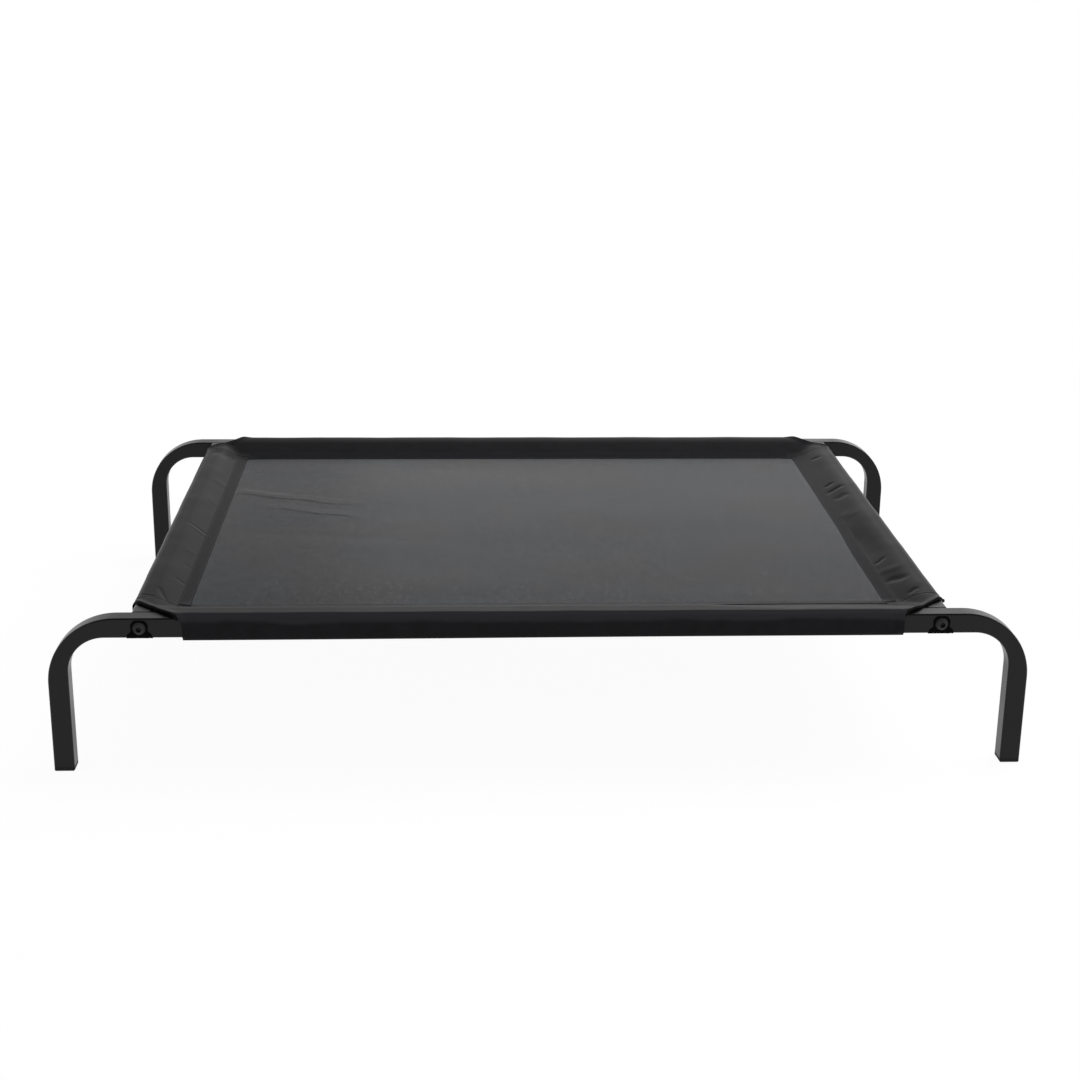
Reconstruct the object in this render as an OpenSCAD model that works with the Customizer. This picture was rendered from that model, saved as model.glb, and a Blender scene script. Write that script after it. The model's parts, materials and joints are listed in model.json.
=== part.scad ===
// Raised dog cot: a knock-down frame of bent square tube that carries a stretched mesh bed.
// +X runs along the length, +Y to the rear and +Z up.
// The origin is on the floor, under the middle of the bed.

/* [Overall] */
// Length over the outer faces of the legs
cot_l = 1060; // [700:1:1400]
// Width over the outer faces of the long rails
cot_w = 740; // [450:1:900]
// Height of the tube tops above the floor
cot_h = 176; // [150:1:320]

/* [Tube] */
// Side of the square tube
tube = 22; // [19:0.5:26]
// Wall of the square tube
wall = 1.2; // [0.8:0.1:1.6]
// Outer corner radius of the square tube
tube_r = 2.4; // [2:0.1:3.2]
// Radius of the outside of each leg's bend
bend_out_r = 74; // [64:1:84]
// Radius of the inside of each leg's bend, where the pressed bend draws the tube thinner
bend_in_r = 40; // [32:1:46]

/* [Rail joints] */
// Length of each leg along its rail, from the leg's outer face to the joint
leg_reach = 160; // [152:1:200]
// Length of the spigot that joins a leg to a rail
spigot_l = 88; // [50:1:104]
// Wall of the spigot
spigot_wall = 1.5; // [1:0.1:2.5]
// Clearance on each side of the spigot
spigot_fit = 0.2; // [0.1:0.05:0.4]

/* [Corner bolts] */
// Distance of each corner bolt and cross bar from the legs' outer faces
bar_inset = 100; // [90:1:108]
// Thread diameter of the bolts
bolt_d = 8; // [6:0.5:10]
// Length of a bolt under its head
bolt_l = 40; // [32:1:60]
// Clearance of the bolt holes in the legs, on the diameter
bolt_fit = 0.4; // [0.2:0.1:1]
// Diameter of the button head
head_d = 14; // [12:0.5:17]
// Height of the button head
head_h = 4.4; // [3.4:0.1:5.5]
// Height of the straight rim under the dome
head_rim = 0.8; // [0.4:0.1:1.2]
// Diameter of the flat on top of the dome
head_flat_d = 8; // [7:0.5:9]
// Width across the flats of the hex socket
socket_w = 5; // [4:0.5:6]
// Depth of the hex socket
socket_deep = 2.8; // [2:0.1:3.2]
// Bevel at the tip of the bolt
tip_bevel = 1; // [0.5:0.1:1.5]
// Length of the threaded plug in each cross bar end
nut_l = 20; // [12:1:40]
// Clearance on each side of the threaded plug
nut_fit = 0.15; // [0.05:0.05:0.3]
// Radial clearance of the thread
thread_fit = 0.05; // [0.02:0.01:0.1]

/* [Feet] */
// Height of the foot pad under each leg
foot_h = 5; // [3:0.5:12]
// Bevel round the lower edge of the foot pad
foot_bevel = 1.5; // [0.5:0.1:2.5]
// Length of the foot's plug inside the leg
plug_l = 22; // [12:1:40]
// Wall of the foot's plug
plug_wall = 2.2; // [1.5:0.1:3.5]
// Clearance on each side of the foot's plug
plug_fit = 0.15; // [0.05:0.05:0.3]

/* [Cover] */
// Thickness of the pocket cloth
cloth = 0.9; // [0.6:0.1:1.5]
// Clearance between the cloth and the tube inside it
cloth_gap = 0.5; // [0.3:0.1:0.8]
// Thickness of the mesh
mesh_t = 0.8; // [0.5:0.1:1.2]
// Clearance between the layers of a seam
seam_gap = 0.1; // [0.05:0.05:0.2]
// Width of the seam that holds the mesh between two layers of cloth
seam_w = 16; // [10:1:22]
// Thickness of the tape on a seam
tape_t = 0.8; // [0.5:0.1:1.2]
// Cloth between a cross bar and the edge of the mesh
end_border = 32; // [28:1:60]
// Cloth between a long rail and the edge of the mesh
side_border = 48; // [36:1:80]
// Clearance between the ends of pockets that meet at a corner
corner_gap = 0.3; // [0.2:0.1:0.6]
// How far a corner flap is sewn into its side pocket
flap_lap = 3; // [2:0.5:6]
// Thickness of a corner flap, thin enough to end inside the pocket's cloth
flap_t = 0.6; // [0.3:0.1:0.7]

/* [Hidden] */
$fn = 48;
LEFT = -1;
RIGHT = 1;
FRONT = -1;
REAR = 1;
// Overshoot of a cut past the face that it opens
cut = 1;
// Least corner radius inside a thick square tube
least_r = 0.2;

steel_colour = "#2a2a2c";
zinc_colour = "#8c8d90";
bolt_colour = "#1e1e20";
plastic_colour = "#1b1b1c";
cloth_colour = "#303033";
mesh_colour = "#505154";
tape_colour = "#28282a";

// The tube's inside
bore_w = tube - 2 * wall;
bore_r = tube_r - wall;
// Where the tube axes lie
bar_x = cot_l / 2 - bar_inset;
rail_y = cot_w / 2 - tube / 2;
axis_z = cot_h - tube / 2;
joint_x = cot_l / 2 - leg_reach;
bar_l = cot_w - 2 * tube;
// The bend's two arc centres, as distances from the leg's outer face and heights
bend_out_z = cot_h - bend_out_r;
bend_in_x = tube + bend_in_r;
bend_in_z = cot_h - tube - bend_in_r;

// Pocket section: levels above the tube axis, and distances from it towards the bed's middle
corner_at = tube / 2 - tube_r;
arc_steps = 6;
cloth_out = tube / 2 + cloth_gap + cloth;
seam_low = mesh_t / 2 + seam_gap;
seam_top = seam_low + cloth;
end_edge = tube / 2 + end_border;
side_edge = tube / 2 + side_border;
// Where the pockets end and where the corners are cut
side_half = bar_x - end_edge - corner_gap;
corner_cut = bar_x + cloth_out - side_half;
end_half = rail_y + cloth_out - corner_cut - corner_gap;

// Points along an arc
function arc(centre, r, from, to) =
  [
    for (i = [0 : arc_steps])
      let (a = from + (to - from) * i / arc_steps)
      centre + r * [cos(a), sin(a)]
  ];

function reversed(list) = [for (i = [len(list) - 1 : -1 : 0]) list[i]];

// Angle on the tube's corner at which cloth at this offset leaves it, in a straight line to the seam
function leave_angle(offset, seam) =
  let (d = seam - [corner_at, corner_at])
  atan2(d.y, d.x) + acos((tube_r + offset) / norm(d));

function leave_point(offset, seam) =
  let (a = leave_angle(offset, seam))
  [corner_at, corner_at] + (tube_r + offset) * [cos(a), sin(a)];

// One face of the cloth: from the seam round the tube and back to the seam
function cloth_path(offset, edge, seam_z) =
  let (seam = [edge - seam_w, seam_z], r = tube_r + offset, c = corner_at)
  let (a = leave_angle(offset, seam))
  concat(
    [[edge, seam_z], seam],
    arc([c, c], r, a, 90),
    arc([-c, c], r, 90, 180),
    arc([-c, -c], r, 180, 270),
    arc([c, -c], r, 270, 360 - a),
    [[seam.x, -seam_z], [edge, -seam_z]]
  );

// Turns a drawing of (across, up) so that it runs along X, with across towards +Y
module along_x(length) {
  rotate([90, 0, 90]) linear_extrude(length, center = true) children();
}

// Turns a drawing of (across, up) so that it runs along Y, with across towards +X
module along_y(length) {
  rotate([90, 0, 0]) linear_extrude(length, center = true) children();
}

// Takes a piece drawn for the front left to another side
module at_side(side_x, side_y) {
  mirror([side_x == RIGHT ? 1 : 0, 0, 0])
    mirror([0, side_y == REAR ? 1 : 0, 0])
      children();
}

module round_square(side, r) {
  square([side, side - 2 * r], center = true);
  square([side - 2 * r, side], center = true);
  for (x = [-1, 1], y = [-1, 1])
    translate([x, y] * (side / 2 - r)) circle(r);
}

module tube_ring(side, r, thick) {
  difference() {
    round_square(side, r);
    round_square(side - 2 * thick, max(r - thick, least_r));
  }
}

// One wall of the tube down to where its corners are round, lying on the line y = 0
module wall_strip(side, r) {
  intersection() {
    translate([0, r - side / 2]) round_square(side, r);
    translate([-side / 2, 0]) square([side, r]);
  }
}

// The area inside an elbow's outline, from the outline to the far ends of the bend
module elbow_area(inset, r) {
  difference() {
    translate([inset, bend_out_z]) square([bend_out_r - inset, bend_out_r - inset]);
    translate([inset, cot_h - inset - r]) difference() {
      square(r);
      translate([r, 0]) circle(r);
    }
  }
}

// The side view of the bend, less a margin on both of its curved edges
module bend_side(margin) {
  difference() {
    elbow_area(margin, bend_out_r - margin);
    elbow_area(tube - margin, bend_in_r + margin);
  }
}

// A quarter turn about a point of the side view, from straight up to the leg's outer side
module quarter_turn(x, z) {
  translate([x, 0, z]) rotate([90, 0, 0]) rotate([0, 0, 90]) rotate_extrude(angle = 90) children();
}

// Solid of the leg, shrunk by an inset all round and running past its open ends
module leg_solid(inset, past) {
  side = tube - 2 * inset;
  r = tube_r - inset;
  in_step = bend_in_z - bend_out_z;
  translate([tube / 2, 0, foot_h - past])
    linear_extrude(bend_out_z - foot_h + past) round_square(side, r);
  translate([(bend_out_r + leg_reach + past) / 2, 0, axis_z])
    along_x(leg_reach + past - bend_out_r) round_square(side, r);
  along_y(side) bend_side(inset + r);
  quarter_turn(bend_out_r, bend_out_z)
    translate([bend_out_r - inset - r, 0]) rotate(-90) wall_strip(side, r);
  quarter_turn(bend_in_x, bend_in_z)
    translate([bend_in_r + inset + r, 0]) rotate(90) wall_strip(side, r);
  translate([tube - inset - r, 0, bend_out_z])
    linear_extrude(in_step) rotate(-90) wall_strip(side, r);
  translate([(bend_in_x + bend_out_r) / 2, 0, cot_h - tube + inset + r])
    along_x(bend_out_r - bend_in_x) mirror([0, 1]) wall_strip(side, r);
}

module leg(side_x, side_y) {
  color(steel_colour) at_side(side_x, side_y)
    translate([-cot_l / 2, -rail_y, 0]) difference() {
      leg_solid(0, 0);
      leg_solid(wall, cut);
      translate([bar_inset, 0, axis_z]) rotate([90, 0, 0])
        cylinder(h = tube + 2 * cut, d = bolt_d + bolt_fit, center = true);
    }
}

module rail(side_y) {
  color(steel_colour) translate([0, side_y * rail_y, axis_z])
    along_x(2 * joint_x) tube_ring(tube, tube_r, wall);
}

module spigot(side_x, side_y) {
  color(zinc_colour) translate([side_x * joint_x, side_y * rail_y, axis_z])
    along_x(spigot_l)
      tube_ring(bore_w - 2 * spigot_fit, bore_r, spigot_wall);
}

module cross_bar(side_x) {
  color(steel_colour) translate([side_x * bar_x, 0, axis_z])
    along_y(bar_l) tube_ring(tube, tube_r, wall);
}

module bar_end_nuts() {
  color(zinc_colour)
    for (x = [LEFT, RIGHT], y = [FRONT, REAR]) at_side(x, y)
      translate([-bar_x, nut_l / 2 - bar_l / 2, axis_z]) along_y(nut_l) difference() {
        round_square(bore_w - 2 * nut_fit, bore_r);
        circle(bolt_d / 2 + thread_fit);
      }
}

// A button-head bolt along +Z, with the underside of its head at the origin
module bolt() {
  dome_z = (pow(head_h, 2) + pow(head_flat_d / 2, 2) - pow(head_rim, 2) - pow(head_d / 2, 2))
    / (2 * (head_h - head_rim));
  dome_r = norm([head_d / 2, head_rim - dome_z]);
  rotate([180, 0, 0]) difference() {
    intersection() {
      cylinder(h = head_h, d = head_d);
      translate([0, 0, dome_z]) sphere(dome_r);
    }
    translate([0, 0, head_h - socket_deep])
      cylinder(h = socket_deep + cut, d = socket_w / cos(30), $fn = 6);
  }
  cylinder(h = bolt_l - tip_bevel, d = bolt_d);
  translate([0, 0, bolt_l - tip_bevel])
    cylinder(h = tip_bevel, d1 = bolt_d, d2 = bolt_d - 2 * tip_bevel);
}

module corner_bolts() {
  color(bolt_colour)
    for (x = [LEFT, RIGHT], y = [FRONT, REAR]) at_side(x, y)
      translate([-bar_x, -cot_w / 2, axis_z]) rotate([-90, 0, 0]) bolt();
}

// The foot pad's outline seen from one side, with its lower edges bevelled
module pad_side() {
  half = tube / 2;
  polygon([
    [foot_bevel - half, 0], [half - foot_bevel, 0], [half, foot_bevel],
    [half, foot_h], [-half, foot_h], [-half, foot_bevel]
  ]);
}

module foot(side_x, side_y) {
  plug_w = bore_w - 2 * plug_fit;
  color(plastic_colour) translate([side_x * (cot_l / 2 - tube / 2), side_y * rail_y, 0]) {
    intersection() {
      linear_extrude(foot_h) round_square(tube, tube_r);
      along_x(tube) pad_side();
      along_y(tube) pad_side();
    }
    translate([0, 0, foot_h]) linear_extrude(plug_l) difference() {
      round_square(plug_w, bore_r);
      square(plug_w - 2 * plug_wall, center = true);
    }
  }
}

module mesh_panel() {
  color(mesh_colour) translate([0, 0, axis_z])
    cube([
      2 * (bar_x - end_edge + seam_w - seam_gap),
      2 * (rail_y - side_edge + seam_w - seam_gap),
      mesh_t
    ], center = true);
}

// Section of a pocket: cloth folded round the tube, with the mesh's edge between its two ends
module pocket_section(edge) {
  polygon(concat(
    cloth_path(cloth_gap + cloth, edge, seam_top),
    reversed(cloth_path(cloth_gap, edge, seam_low))
  ));
}

// The cloth at the front left corner: it lies on the bar and the rail, is cut at 45 degrees,
// and falls to the corner of the mesh. Its points follow the middle of the cloth.
module corner_flap() {
  mid = cloth_gap + cloth / 2;
  seam = [side_edge - seam_w, (seam_low + seam_top) / 2];
  leave = leave_point(mid, seam);
  top_z = axis_z + tube / 2 + mid;
  cut_sum = side_half + rail_y + tube / 2 + mid;
  out_x = bar_x + tube / 2 + mid;
  out_y = cut_sum - out_x;
  in_x = bar_x - leave.x;
  in_y = rail_y - leave.x;
  lap_x = side_half - flap_lap;
  fall = min(seam.x, rail_y - out_y);
  fall_z = leave.y + (seam.y - leave.y) * (fall - leave.x) / (seam.x - leave.x);
  rim = [
    [out_x, out_y, top_z],
    [in_x, cut_sum - in_x, top_z],
    [cut_sum - in_y, in_y, axis_z + leave.y],
    [side_half, cut_sum - side_half, top_z],
    [lap_x, cut_sum - side_half, top_z],
    [lap_x, in_y, axis_z + leave.y],
    [lap_x, rail_y - fall, axis_z + fall_z],
    [in_x, out_y, top_z]
  ];
  n = len(rim);
  sheet = [[0, 1, 7], [1, 6, 7], [1, 2, 6], [2, 5, 6], [2, 3, 5], [3, 4, 5]];
  polyhedron(
    points = [for (level = [-1, 1], p = rim) [-p.x, -p.y, p.z + level * flap_t / 2]],
    faces = concat(
      sheet,
      [for (f = sheet) reversed(f) + [n, n, n]],
      [for (i = [0 : n - 1]) [i, i + n, (i + 1) % n + n]],
      [for (i = [0 : n - 1]) [i, (i + 1) % n + n, (i + 1) % n]]
    )
  );
}

module side_pocket(side_y) {
  color(cloth_colour) at_side(LEFT, side_y) {
    translate([0, -rail_y, axis_z]) along_x(2 * side_half) pocket_section(side_edge);
    for (side_x = [LEFT, RIGHT]) at_side(side_x, FRONT) corner_flap();
  }
}

module end_pocket(side_x) {
  color(cloth_colour) at_side(side_x, FRONT)
    translate([-bar_x, 0, axis_z]) along_y(2 * end_half) pocket_section(end_edge);
}

module side_tape(side_y) {
  color(tape_colour) at_side(LEFT, side_y)
    translate([-side_half, side_edge - seam_w - rail_y, axis_z + seam_top])
      cube([2 * side_half, seam_w, tape_t]);
}

module end_tape(side_x) {
  color(tape_colour) at_side(side_x, FRONT)
    translate([end_edge - seam_w - bar_x, -end_half, axis_z + seam_top])
      cube([seam_w, 2 * end_half, tape_t]);
}

leg(LEFT, FRONT);  // front_left_leg
leg(RIGHT, FRONT);  // front_right_leg
leg(LEFT, REAR);  // rear_left_leg
leg(RIGHT, REAR);  // rear_right_leg
rail(FRONT);  // front_rail
rail(REAR);  // rear_rail
spigot(LEFT, FRONT);  // front_left_spigot
spigot(RIGHT, FRONT);  // front_right_spigot
spigot(LEFT, REAR);  // rear_left_spigot
spigot(RIGHT, REAR);  // rear_right_spigot
cross_bar(LEFT);  // left_cross_bar
cross_bar(RIGHT);  // right_cross_bar
bar_end_nuts();
corner_bolts();
foot(LEFT, FRONT);  // front_left_foot
foot(RIGHT, FRONT);  // front_right_foot
foot(LEFT, REAR);  // rear_left_foot
foot(RIGHT, REAR);  // rear_right_foot
mesh_panel();
side_pocket(FRONT);  // front_side_pocket
side_pocket(REAR);  // rear_side_pocket
end_pocket(LEFT);  // left_end_pocket
end_pocket(RIGHT);  // right_end_pocket
side_tape(FRONT);  // front_seam_tape
side_tape(REAR);  // rear_seam_tape
end_tape(LEFT);  // left_seam_tape
end_tape(RIGHT);  // right_seam_tape
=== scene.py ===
import json
import math

import bmesh
import bpy
import numpy as np
from mathutils import Matrix, Vector


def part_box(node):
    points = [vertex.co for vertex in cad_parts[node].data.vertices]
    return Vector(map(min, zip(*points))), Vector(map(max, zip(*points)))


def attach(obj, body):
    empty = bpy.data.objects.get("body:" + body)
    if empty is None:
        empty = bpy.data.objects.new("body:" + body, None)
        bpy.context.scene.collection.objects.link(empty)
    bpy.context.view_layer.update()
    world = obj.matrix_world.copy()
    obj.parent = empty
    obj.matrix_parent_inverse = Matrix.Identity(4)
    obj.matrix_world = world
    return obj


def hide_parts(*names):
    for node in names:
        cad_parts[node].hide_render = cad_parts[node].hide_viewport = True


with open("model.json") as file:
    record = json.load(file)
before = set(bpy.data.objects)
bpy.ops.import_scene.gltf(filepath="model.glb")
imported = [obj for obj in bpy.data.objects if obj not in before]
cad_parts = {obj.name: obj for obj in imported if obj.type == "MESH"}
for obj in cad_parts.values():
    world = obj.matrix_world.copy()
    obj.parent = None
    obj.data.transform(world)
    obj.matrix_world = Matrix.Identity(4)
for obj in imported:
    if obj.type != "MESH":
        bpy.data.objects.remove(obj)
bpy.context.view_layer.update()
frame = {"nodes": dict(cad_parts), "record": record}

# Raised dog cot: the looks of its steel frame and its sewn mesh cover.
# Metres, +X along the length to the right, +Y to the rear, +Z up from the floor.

MM = 0.001
LEFT, RIGHT = -1, 1
FRONT, REAR = -1, 1
END_NAMES = {LEFT: "left", RIGHT: "right"}
SIDE_NAMES = {FRONT: "front", REAR: "rear"}

# Places taken from the frame, all on the right or rear side, where they are above zero
bar_low, bar_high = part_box("right_cross_bar")
rail_low, rail_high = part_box("rear_rail")
end_tape_low, end_tape_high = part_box("right_seam_tape")
side_tape_low, side_tape_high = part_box("rear_seam_tape")
mesh_low, mesh_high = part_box("mesh_panel")
TUBE_TOP = bar_high.z
TUBE_LOW = bar_low.z
AXIS_Z = (TUBE_TOP + TUBE_LOW) / 2
BAR_IN, BAR_OUT = bar_low.x, bar_high.x
RAIL_IN, RAIL_OUT = rail_low.y, rail_high.y
END_SEAM_IN = end_tape_low.x
SIDE_SEAM_IN, SIDE_SEAM_OUT = side_tape_low.y, side_tape_high.y
SIDE_HALF = side_tape_high.x
END_HALF = end_tape_high.y

# Thicknesses of the cover's cloth, tape and mesh, and the room between two layers
CLOTH = 0.9 * MM
TAPE = 0.5 * MM
NET = 0.4 * MM
LAYER_GAP = 0.15 * MM

# How loosely the middle of the cloth lies on the tubes: over them, under them and past their outer faces
END_LIFT = 1.4 * MM
SIDE_LIFT = 3.0 * MM
UNDER_DROP = 1.2 * MM
END_PAST = {LEFT: 3.2 * MM, RIGHT: 1.9 * MM}
SIDE_PAST = 3.0 * MM
# Radius of the cloth's outer shoulder, where it turns down over a tube, and of its bends below
END_SHOULDER = {LEFT: 8 * MM, RIGHT: 6.5 * MM}
SIDE_SHOULDER = 11 * MM
UNDER_BEND = 4 * MM

# Levels of the middle of the cloth
END_TOP = TUBE_TOP + END_LIFT
SIDE_TOP = TUBE_TOP + SIDE_LIFT
UNDER_Z = TUBE_LOW - UNDER_DROP
SEAM_UNDER_Z = AXIS_Z - NET / 2 - LAYER_GAP - CLOTH / 2

# The tapes' edges, and the cloth's edge under each tape
END_TAPE_IN, END_TAPE_OUT = END_SEAM_IN - 2 * MM, END_SEAM_IN + 11.5 * MM
SIDE_TAPE_IN, SIDE_TAPE_OUT = SIDE_SEAM_IN - 1.5 * MM, SIDE_SEAM_OUT - 2 * MM
END_CLOTH_IN = END_TAPE_IN + 9 * MM
SIDE_CLOTH_IN = SIDE_TAPE_IN + 8 * MM
TAPE_TUCK = 1.3 * MM
# The front half of the right tape lies further in: how far, and where that begins and is full
TAPE_BOW = {LEFT: 0, RIGHT: 2.8 * MM}
BOW_FROM, BOW_TO = 20 * MM, 130 * MM
# The right end of the front tape stands off the mesh: how far, and where that begins and is full
TAPE_LOOSE = {FRONT: 0.5 * MM, REAR: 0}
LOOSE_FROM, LOOSE_TO = 200 * MM, 260 * MM
# The side pockets' open ends lie a little to the right of the frame's middle
STRIP_END = {LEFT: SIDE_HALF - 2.5 * MM, RIGHT: SIDE_HALF + 1.5 * MM}
# Each tape rises evenly from the mesh on to the cloth: its middle at the inner edge, and its slope.
# The front is pulled flatter than the rear, up to where it turns as steep at its right end.
TAPE_FOOT_Z = AXIS_Z + NET / 2 - TAPE / 2
TAPE_OVER_CLOTH = CLOTH / 2 + LAYER_GAP + TAPE / 2
END_TAPE_SLOPE = 0.17
SIDE_TAPE_SLOPE = 0.22
FRONT_TAPE_SLOPE = 0.165
FLAT_FRONT_TO, STEEP_FRONT_FROM = 150 * MM, 280 * MM

# Where the cloth leaves a tube on its way down to the tape, and how far it is rounded there
BAR_CREST = BAR_IN + 2 * MM
RAIL_CREST = RAIL_IN + 3.5 * MM
FRONT_RAIL_CREST = RAIL_IN - 4 * MM
CREST_ROUND = 3.4 * MM
FRONT_CREST_ROUND = 1.2 * MM
# The end tapes' outer edge, and how steeply the cloth goes up from there to the cross bar
END_TAPE_HIGH = TAPE_FOOT_Z - TAPE_OVER_CLOTH + END_TAPE_SLOPE * (END_TAPE_OUT - END_TAPE_IN)
END_SLOPE = (END_TOP - END_TAPE_HIGH) / (BAR_CREST - END_TAPE_OUT)
# Over the front rail the cloth leans back a little
FRONT_LEAN = 0.06
# How far the cloth is rounded where two pockets meet, and where it leaves the tape
VALLEY_ROUND = 4 * MM
SEAM_ROUND = 0.8 * MM

# The 45 degree cut of each corner flap: its end over the cross bar and its end over the long rail
FLAP_PAST = {LEFT: -1.2 * MM, RIGHT: 2.2 * MM}
FLAP_OUT_X = {end: BAR_OUT + END_PAST[end] + FLAP_PAST[end] for end in END_NAMES}
FLAP_OUT_Y = END_HALF + 1 * MM
FLAP_END_X = SIDE_HALF + 3 * MM
FLAP_START_X = SIDE_HALF - 26 * MM
# The flap's cut edge stands off the tubes, and a rolled hem hangs under it
CUT_LIFT = 1.0 * MM
CUT_LIFT_REACH = 9 * MM
HEM_HALF_WIDTH = 1.7 * MM
HEM_HALF_HEIGHT = 2.0 * MM
HEM_UNDER = 1.2 * MM
# The end pocket's top runs a little way under the flap, and its outside a little further
END_TUCK = SIDE_CLOTH_IN + 5 * MM
END_OUTSIDE = END_HALF - 1.5 * MM
SEAM_DIP = 0.3 * MM
# The turned-in edge at the open ends of a pocket, and how soon it rises
EDGE_WIDTH = 7 * MM
EDGE_RISE = 0.5 * MM
EDGE_STEP = 1 * MM
# The side pockets hang lower and lower towards the left
SIDE_SAG = 1.2 * MM
SAG_FROM, SAG_TO = 200 * MM, -350 * MM
# Where a sheet's faces meet at more than this, its edge is crisp
CUT_EDGE_ANGLE = math.radians(50)


# Camera, light and floor

CAMERA_PLACE = Vector((-0.0977, -2.2106, 0.8613))
CAMERA_YAW = math.radians(2.855)
CAMERA_PITCH = math.radians(18.013)
CAMERA_ROLL = math.radians(0.675)
CAMERA_LENS_MM = 61.31
SENSOR_MM = 36


def new_object(name, data):
    """Puts a new object into the scene."""
    thing = bpy.data.objects.new(name, data)
    bpy.context.scene.collection.objects.link(thing)
    return thing


def make_camera():
    """The camera fitted to the straight edges of the frame in the photo."""
    data = bpy.data.cameras.new("photo_camera")
    data.lens = CAMERA_LENS_MM
    data.sensor_width = SENSOR_MM
    data.sensor_fit = "HORIZONTAL"
    camera = new_object("photo_camera", data)
    turn = Matrix.Rotation(-CAMERA_YAW, 4, "Z")
    tip = Matrix.Rotation(math.pi / 2 - CAMERA_PITCH, 4, "X")
    roll = Matrix.Rotation(CAMERA_ROLL, 4, "Z")
    camera.matrix_world = Matrix.Translation(CAMERA_PLACE) @ turn @ tip @ roll
    bpy.context.scene.camera = camera


def add(tree, kind, values=None, **settings):
    """Adds one node. Settings are its own properties.
    Values are its inputs: numbers, or outputs of other nodes."""
    node = tree.nodes.new(kind)
    for name, value in settings.items():
        setattr(node, name, value)
    for name, value in (values or {}).items():
        if isinstance(value, bpy.types.NodeSocket):
            tree.links.new(value, node.inputs[name])
        else:
            node.inputs[name].default_value = value
    return node


def colour(hex_code):
    """A colour written as sRGB hex, as the linear values that a shader takes."""
    shares = [int(hex_code[place:place + 2], 16) / 255 for place in (1, 3, 5)]
    linear = [s / 12.92 if s <= 0.04045 else ((s + 0.055) / 1.055) ** 2.4 for s in shares]
    return (*linear, 1.0)


def backdrop_rays(tree):
    """1 for the rays that see the backdrop: from the camera, or by way of gloss or glass."""
    path = add(tree, "ShaderNodeLightPath").outputs
    either = add(tree, "ShaderNodeMath", {0: path["Is Camera Ray"], 1: path["Is Glossy Ray"]},
                 operation="MAXIMUM")
    seen = add(tree, "ShaderNodeMath", {0: either.outputs[0], 1: path["Is Transmission Ray"]},
               operation="MAXIMUM")
    return seen.outputs[0]


AMBIENT = 0.5
LIGHT_AIM = Vector((0, 0, 0.15))
# Each softbox: watts, side, place, and whether it shows as a highlight
SOFTBOXES = {
    "overhead_softbox": (95, 2.4, Vector((1.5, 0.6, 2.6)), False),
    "rear_panel": (68, 7.4, Vector((2.75, 8.3, 2.6)), True),
    "front_fill": (62, 3.0, Vector((0.9, -4.6, 1.1)), False),
}
FLOOR_SIZE = 40
FLOOR_WHITE = "#f4f4f4"
# How far the floor's own white shows: a share near the cot, and all of it past the far radius
SHADOW_LIFT = 0.95
FLOOR_NEAR, FLOOR_FAR = 0.8, 2.0


def make_world():
    """A studio that lights evenly and is white all round for the camera.
    What gloss shows of it is grey above the backdrop, and dark overhead."""
    # From and to how many degrees above the horizon it darkens, and the share of white that is left
    ceiling = (12, 26, 0.68)
    overhead = (42, 62, 0.03)
    world = bpy.data.worlds.new("studio")
    bpy.context.scene.world = world
    world.use_nodes = True
    tree = world.node_tree
    tree.nodes.clear()
    lighting = add(tree, "ShaderNodeBackground", {"Color": colour("#ffffff"), "Strength": AMBIENT})
    direction = add(tree, "ShaderNodeSeparateXYZ", {0: add(tree, "ShaderNodeTexCoord").outputs["Generated"]})
    levels = []
    for low, high, level in (ceiling, overhead):
        darker = add(tree, "ShaderNodeMapRange",
                     {"Value": direction.outputs["Z"], "From Min": math.sin(math.radians(low)),
                      "From Max": math.sin(math.radians(high)), "To Min": 1.0, "To Max": level},
                     interpolation_type="SMOOTHSTEP")
        levels.append(darker.outputs[0])
    studio = add(tree, "ShaderNodeMath", {0: levels[0], 1: levels[1]}, operation="MULTIPLY")
    white = add(tree, "ShaderNodeMath",
                {0: studio.outputs[0], 1: add(tree, "ShaderNodeLightPath").outputs["Is Camera Ray"]},
                operation="MAXIMUM")
    backdrop = add(tree, "ShaderNodeBackground", {"Color": colour("#ffffff"), "Strength": white.outputs[0]})
    mix = add(tree, "ShaderNodeMixShader",
              {0: backdrop_rays(tree), 1: lighting.outputs[0], 2: backdrop.outputs[0]})
    add(tree, "ShaderNodeOutputWorld", {"Surface": mix.outputs[0]})


def make_lights():
    """The softboxes, all turned to the cot."""
    for name, (watts, side, place, highlight) in SOFTBOXES.items():
        data = bpy.data.lights.new(name, "AREA")
        data.shape = "SQUARE"
        data.size = side
        data.energy = watts
        light = new_object(name, data)
        light.location = place
        light.rotation_euler = (LIGHT_AIM - place).to_track_quat("-Z", "Y").to_euler()
        light.visible_glossy = highlight
        light.visible_camera = False


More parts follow.
